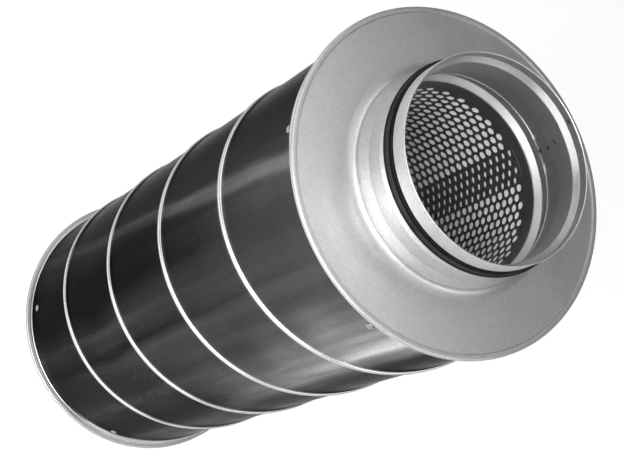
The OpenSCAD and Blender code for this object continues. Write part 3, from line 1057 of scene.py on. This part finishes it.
@dataclass
class PerforatedTube:
    """The perforated tube with its staggered holes, lapped joint and beaded margins.

    The lap's plain edge is a share of a row wide. The two skins of a sheet are closed between
    points that share an angle and a height, counted in so many steps a radian and a millimetre.
    """

    radius: float = 79.0
    sheet: float = 0.6
    rows: int = 68
    hole: float = 6.1
    margin: float = 18.5
    holes_in_row: int = 67
    first_angle: float = -2.6
    lap_first_row: int = 14
    lap_rows: int = 4
    lap_shift: float = 2.9
    lap_edge: float = 0.16
    lap_margin_sheet: float = 0.54
    angle_steps: int = 2000
    height_steps: int = 50

    @property
    def row_width(self) -> float:
        """Width of one row of holes, measured round the tube."""
        return 2 * math.pi * self.radius / self.rows

    @property
    def row_angle(self) -> float:
        """Angle of one row of holes, in degrees."""
        return 360.0 / self.rows

    @property
    def lap_start(self) -> float:
        """Angle at which the lapped joint begins, in degrees."""
        return self.first_angle + (self.lap_first_row - self.lap_edge) * self.row_angle

    @property
    def pitch(self) -> float:
        """Distance between the holes of one row."""
        length = End.FRONT.value - End.REAR.value - 2 * self.margin
        return length / (self.holes_in_row + 0.5)

    def cell(self) -> BMesh:
        """One hole in its own bit of sheet, laid flat.

        Returns:
            A mesh with X round the tube, Y along it and Z inwards, open at its border.
        """
        w, p = self.row_width / 2, self.pitch / 2
        border = [(w, 0), (w, p / 2), (w, p), (0, p), (-w, p), (-w, p / 2), (-w, 0), (-w, -p / 2),
                  (-w, -p), (0, -p), (w, -p), (w, -p / 2)]
        angles = [math.atan2(y, x) for x, y in border]
        rim = [(self.hole / 2 * math.cos(a), self.hole / 2 * math.sin(a)) for a in angles]
        bm = bmesh.new()
        outer_edge, outer_rim, inner_rim, inner_edge = (
            [bm.verts.new((x * MM, y * MM, depth * MM)) for x, y in line]
            for line, depth in ((border, 0.0), (rim, 0.0), (rim, self.sheet), (border, self.sheet)))
        skin(bm, [outer_edge, outer_rim, inner_rim, inner_edge], ring=False, loop=True)
        return bm

    def perforated(self, name: str, rows: int, first_angle: float, radius: float,
                   shift: float) -> BMesh:
        """Rows of holes bent round the duct axis.

        Args:
            name: Name of the tree.
            rows: Number of rows.
            first_angle: Angle of the first row's edge, in degrees.
            radius: Outer radius of the sheet.
            shift: How far the pattern is moved along the axis.

        Returns:
            A closed sheet with its holes.
        """
        g = Growth(name)
        count = g.size("Rows", rows)
        holes = g.size("Holes in a row", self.holes_in_row)
        width = g.size("Row width", self.row_width * MM)
        pitch = g.size("Hole pitch", self.pitch * MM)
        outer = g.size("Outer radius", radius * MM)
        start = g.size("First height", (End.REAR.value + self.margin + shift) * MM)
        begin = g.size("First angle", math.radians(first_angle))
        number = g.index()
        row = g.math("FLOOR", g.math("DIVIDE", number, holes))
        along = g.math("SUBTRACT", number, g.math("MULTIPLY", row, holes))
        odd = g.math("MODULO", row, 2.0)
        step = g.math("ADD", g.math("ADD", along, 0.5), g.math("MULTIPLY", odd, 0.5))
        spots = g.vector(g.math("MULTIPLY", g.math("ADD", row, 0.5), width),
                         g.math("MULTIPLY", step, pitch))
        total = g.math("MULTIPLY", count, holes)
        flat = g.together(g.copies(g.moved(g.row(total), spots), g.seed),
                          *self.fillers(g, count, holes, width, pitch))
        x, y, z = g.place()
        angle = g.math("ADD", begin, g.math("DIVIDE", x, self.radius * MM))
        depth = g.math("SUBTRACT", outer, z)
        bent = g.moved(flat, g.round_axis(depth, angle, g.math("ADD", start, y)))
        sheet = g.grow(self.cell(), g.merged(bent), TUBE_FINISH.paint())
        self.close(sheet, radius)
        return sheet

    def fillers(self, g: Growth, count: NodeSocket, holes: NodeSocket, width: NodeSocket,
                pitch: NodeSocket) -> list[NodeSocket]:
        """Plain half cells that make the staggered rows end level.

        Args:
            g: The tree.
            count: Number of rows.
            holes: Holes in a row.
            width: Width of a row.
            pitch: Distance between the holes of one row.

        Returns:
            The half cells at the low end of the odd rows and the high end of the even rows.
        """
        inputs = {"Size X": width, "Size Y": g.math("MULTIPLY", pitch, 0.5),
                  "Vertices X": 3, "Vertices Y": 3}
        plate = g.add("GeometryNodeMeshGrid", inputs).outputs[0]
        under = g.add("GeometryNodeSetPosition",
                      {"Geometry": plate, "Offset": (0.0, 0.0, self.sheet * MM)}).outputs[0]
        pair = g.together(plate, under)
        half = g.math("DIVIDE", count, 2.0)
        low, high = 0.25, g.math("ADD", holes, 0.25)
        ends = []
        for first_row, rounding, level in ((1.0, "FLOOR", low), (0.0, "CEIL", high)):
            row = g.math("ADD", g.math("MULTIPLY", g.index(), 2.0), first_row + 0.5)
            spot = g.vector(g.math("MULTIPLY", row, width), g.math("MULTIPLY", level, pitch))
            ends.append(g.copies(g.moved(g.row(g.math(rounding, half)), spot), pair))
        return ends

    def close(self, bm: BMesh, radius: float) -> None:
        """Closes the open edges between the two skins of a sheet.

        Args:
            bm: The sheet.
            radius: Its outer radius.
        """
        middle = (radius - self.sheet / 2) * MM
        spots: dict[tuple[int, int], list[BMVert]] = {}
        border = [e for e in bm.edges if e.is_boundary]
        for vert in {v for e in border for v in e.verts}:
            angle = math.atan2(vert.co.y, vert.co.x) % (2 * math.pi)
            key = (round(angle * self.angle_steps), round(vert.co.z / MM * self.height_steps))
            spots.setdefault(key, []).append(vert)
        partner: dict[BMVert, BMVert] = {}
        for pair in spots.values():
            if len(pair) == 2:
                partner[pair[0]], partner[pair[1]] = pair[1], pair[0]
        for edge in border:
            a, b = edge.verts
            if a.co.xy.length > middle and a in partner and b in partner:
                bm.faces.new((a, b, partner[b], partner[a]))
        bmesh.ops.recalc_face_normals(bm, faces=bm.faces)

    def margin_ring(self, end: End, bead: Outline) -> BMesh:
        """One end's plain margin with the bead rolled into it, and its second layer at the lap.

        Args:
            end: The end.
            bead: Inner line of the spigot's bead, which the margin lies in.

        Returns:
            Both layers as one mesh.
        """
        path = [(self.radius, -self.margin)] + bead
        ring = turned(sheet_outline(path, self.sheet), end, 240)
        second = sheet_outline(shifted(path, self.sheet), self.lap_margin_sheet)
        sweep = (self.lap_rows + self.lap_edge) * self.row_angle
        return joined([ring, turned(second, end, 16, self.lap_start, sweep)])

    def lap(self) -> BMesh:
        """The second layer at the lapped joint: rows of holes, then a plain edge strip.

        Returns:
            Both as one mesh.
        """
        outer = self.radius - self.sheet
        inner = outer - self.sheet
        holes = self.perforated("holes_lap", self.lap_rows, self.lap_start, outer, self.lap_shift)
        low, high = End.REAR.height(-self.margin), End.FRONT.height(-self.margin)
        section = [(inner, low), (outer, low), (outer, high), (inner, high)]
        start = self.lap_start + self.lap_rows * self.row_angle
        strip = turned(section, segments=2, start=start, sweep=self.lap_edge * self.row_angle)
        return joined([holes, strip])

    def build(self, bead: Outline) -> None:
        """Builds and dresses the tube: two half sleeves, the lap and the two margins.

        Args:
            bead: Inner line of the spigot's bead.
        """
        parts: dict[str, BMesh] = {}
        for side, turn in (("near", 180.0), ("far", 0.0)):
            parts[f"perforated_tube_{side}"] = self.perforated(
                f"holes_{side}", self.rows // 2, self.first_angle + turn, self.radius, 0.0)
        parts["perforated_tube_lap"] = self.lap()
        for end in End:
            parts[f"{end.word}_tube_margin"] = self.margin_ring(end, bead)
        for name, bm in parts.items():
            seat(as_piece(name, bm), TUBE_FINISH.paint(), "tube_sheet", "perforated_tube")


@dataclass
class Gasket:
    """One double-lip gasket in its groove."""

    end: End
    foot_radius: float = 76.0
    groove: Point = (28.0, 45.0)

    def outline(self) -> Outline:
        """Half section: a flat foot that fills the groove, and two lips that lean back.

        Returns:
            The corners as radius and place out from the end face.
        """
        x0, x1 = self.groove
        r = self.foot_radius
        foot = [(r, x0 + 0.3), (r, x0 + 2.0), (r, x1 - 2.0), (r, x1 - 0.3)]
        # Rise from the foot, and distance back from the groove's front
        toe = [(2.1, 0.6), (3.0, 1.2)]
        front_lip = [(5.2, 4.1), (5.5, 4.8), (4.9, 5.1), (3.3, 4.4)]
        gap = [(2.8, 5.5), (2.9, 6.7), (3.8, 7.6)]
        rear_lip = [(6.4, 9.3), (6.8, 10.0), (6.2, 10.4), (3.7, 9.4)]
        heel = [(2.6, 10.0), (1.4, 12.5), (1.2, 15.0), (1.1, 16.5)]
        top = toe + front_lip + gap + rear_lip + heel
        return foot + [(r + rise, x1 - back) for rise, back in top]

    def build(self) -> None:
        """Builds and dresses the gasket."""
        bm = turned(rounded(self.outline(), 3), self.end, 200)
        piece = as_piece(f"{self.end.word}_gasket_lips", bm, 60.0)
        seat(piece, GASKET_FINISH.paint(), "gasket_rubber", f"{self.end.word}_gasket")


@dataclass
class RivetRing:
    """The blind rivets that hold the casing to one end cap's skirt."""

    end: End
    first_angle: float
    count: int = 5
    casing_radius: float = 130.0
    skirt_radius: float = 128.5
    out: float = -20.0
    head: float = 6.6
    shank: float = 4.0
    sides: int = 16

    def rivet(self) -> BMesh:
        """One rivet, its head pointing along +X at its place on the casing.

        Returns:
            A closed mesh.
        """
        h, s = self.head / 2, self.shank / 2
        grip = self.casing_radius - self.skirt_radius
        tail = [(0.0, -2 * grip), (s * 0.6, -2.8), (s * 1.3, -1.6), (s * 1.3, -grip), (s, -grip)]
        head = [(s, 0.0), (h, 0.0), (h, 0.35), (h * 0.86, 0.85), (h * 0.6, 1.3), (h * 0.36, 1.48)]
        dimple = [(h * 0.3, 1.0), (0.0, 0.95)]
        height = self.end.height(self.out)
        return stud(tail + head + dimple, self.casing_radius, height, self.sides)

    def build(self) -> None:
        """Builds and dresses the ring of rivets."""
        g = Growth(f"{self.end.word}_rivet_ring")
        count = g.size("Rivets", self.count)
        first = g.size("First angle", math.radians(self.first_angle))
        step = g.math("DIVIDE", 2 * math.pi, count)
        angle = g.math("ADD", first, g.math("MULTIPLY", g.index(), step))
        ring = g.copies(g.row(count), g.seed, g.vector(0.0, 0.0, angle))
        bm = g.grow(self.rivet(), ring, RIVET_FINISH.paint())
        piece = as_piece(f"{self.end.word}_rivet_ring", bm, 50.0)
        seat(piece, RIVET_FINISH.paint(), "rivet_steel", f"{self.end.word}_rivets")


@dataclass
class Lining:
    """The fleece behind the holes and the mineral wool round it."""

    fleece_inner: float = 79.05
    fleece_outer: float = 79.8
    margin: float = 18.5
    steps: int = 60

    def build(self) -> None:
        """Builds the fleece, and gives the wool its material."""
        low, high = End.REAR.height(-self.margin), End.FRONT.height(-self.margin)
        heights = [low + (high - low) * i / self.steps for i in range(self.steps + 1)]
        outline = [(self.fleece_inner, z) for z in heights]
        outline += [(self.fleece_outer, high), (self.fleece_outer, low)]
        piece = as_piece("fleece_lining", turned(outline, segments=144))
        seat(piece, FLEECE_FINISH.paint(), "fleece", "fleece_wrap")
        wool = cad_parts["mineral_wool"]
        wool.data.materials.clear()
        wool.data.materials.append(WOOL_FINISH.paint())


# Studio


@dataclass(frozen=True)
class Softbox:
    """A soft lamp, in metres; radiance is how bright its face is, and 1 is a lit white card."""

    name: str
    place: Triple
    size: Point
    radiance: float
    aim: Triple = (0.0, 0.0, 0.68)

    def hang(self) -> None:
        """Adds the lamp to the scene."""
        data = bpy.data.lights.new(self.name, "AREA")
        data.shape = "RECTANGLE"
        data.size, data.size_y = self.size
        data.energy = self.radiance * math.pi * data.size * data.size_y
        lamp = bpy.data.objects.new(self.name, data)
        bpy.context.scene.collection.objects.link(lamp)
        turn = (Vector(self.aim) - Vector(self.place)).to_track_quat("-Z", "Y")
        lamp.matrix_world = Matrix.Translation(self.place) @ turn.to_matrix().to_4x4()


SOFTBOXES = (Softbox("top_softbox", (-0.12, 0.33, 2.2), (1.3, 0.95), 1.5, (-0.118, 0.34, 0.5)),
             Softbox("camera_softbox", (0.0, -0.85, 1.8), (0.7, 0.6), 12.0),
             Softbox("front_panel", (0.0, -1.27, 1.25), (2.4, 1.3), 1.5),
             Softbox("left_panel", (-1.4, -0.1, 1.65), (1.6, 1.2), 1.5),
             Softbox("right_panel", (1.4, -0.1, 1.65), (1.6, 1.2), 1.5))


@dataclass(frozen=True)
class Studio:
    """The floor, the lamps and the camera at the photograph's viewing angle, in metres."""

    camera_place: Triple = (0.0001, -0.6601, 1.4901)
    camera_aim: Triple = (-0.0108, -0.0710, 0.5612)
    camera_roll: float = 63.92
    lens: float = 81.84
    sensor: float = 36.0
    floor_colour: Triple = (0.9, 0.9, 0.9)
    floor_lift: float = 0.42
    floor_radius: float = 40.0
    world_grey: float = 0.08
    lamps: tuple[Softbox, ...] = SOFTBOXES

    def camera(self) -> None:
        """Adds the camera."""
        data = bpy.data.cameras.new("photo_camera")
        data.lens = self.lens
        data.sensor_width = self.sensor
        camera = bpy.data.objects.new("photo_camera", data)
        bpy.context.scene.collection.objects.link(camera)
        look = Vector(self.camera_aim) - Vector(self.camera_place)
        level = look.to_track_quat("-Z", "Y").to_matrix()
        roll = Matrix.Rotation(math.radians(self.camera_roll), 3, "Z")
        camera.matrix_world = Matrix.Translation(self.camera_place) @ (level @ roll).to_4x4()
        bpy.context.scene.camera = camera

    def floor(self) -> None:
        """Adds the pale floor, which stays white to the camera and keeps the shadow."""
        bm = bmesh.new()
        bmesh.ops.create_circle(bm, cap_ends=True, segments=96, radius=self.floor_radius)
        floor = as_piece("studio_floor", bm)
        p = Paint("floor_white")
        path = p.add("ShaderNodeLightPath").outputs
        seen = p.math("MAXIMUM", path["Is Camera Ray"],
                      p.math("MAXIMUM", path["Is Glossy Ray"], path["Is Transmission Ray"]))
        p.set(Base_Color=(*self.floor_colour, 1.0), Roughness=0.9, Specular_IOR_Level=0.1,
              Emission_Color=(1.0, 1.0, 1.0, 1.0),
              Emission_Strength=p.math("MULTIPLY", seen, self.floor_lift))
        floor.data.materials.append(p.material)

    def world(self) -> None:
        """Sets the plain grey surround."""
        world = bpy.data.worlds.new("studio_surround")
        world.use_nodes = True
        sky = world.node_tree.nodes["Background"]
        sky.inputs["Color"].default_value = (self.world_grey,) * 3 + (1.0,)
        sky.inputs["Strength"].default_value = 1.0
        bpy.context.scene.world = world

    def build(self) -> None:
        """Sets up the whole studio."""
        self.camera()
        self.floor()
        self.world()
        for lamp in self.lamps:
            lamp.hang()
        bpy.context.scene.view_settings.view_transform = "Standard"


def main() -> None:
    """Builds the studio and every piece in order."""
    logging.basicConfig(level=logging.INFO, format="%(name)s: %(message)s")
    Studio().build()
    Casing().build()
    for end in End:
        EndCap(end).build()
        Spigot(end).build()
        Gasket(end).build()
    PerforatedTube().build(Spigot(End.FRONT).bead())
    RivetRing(End.FRONT, 230.5).build()
    RivetRing(End.REAR, 241.0).build()
    Lining().build()


if __name__ == "__main__":
    main()
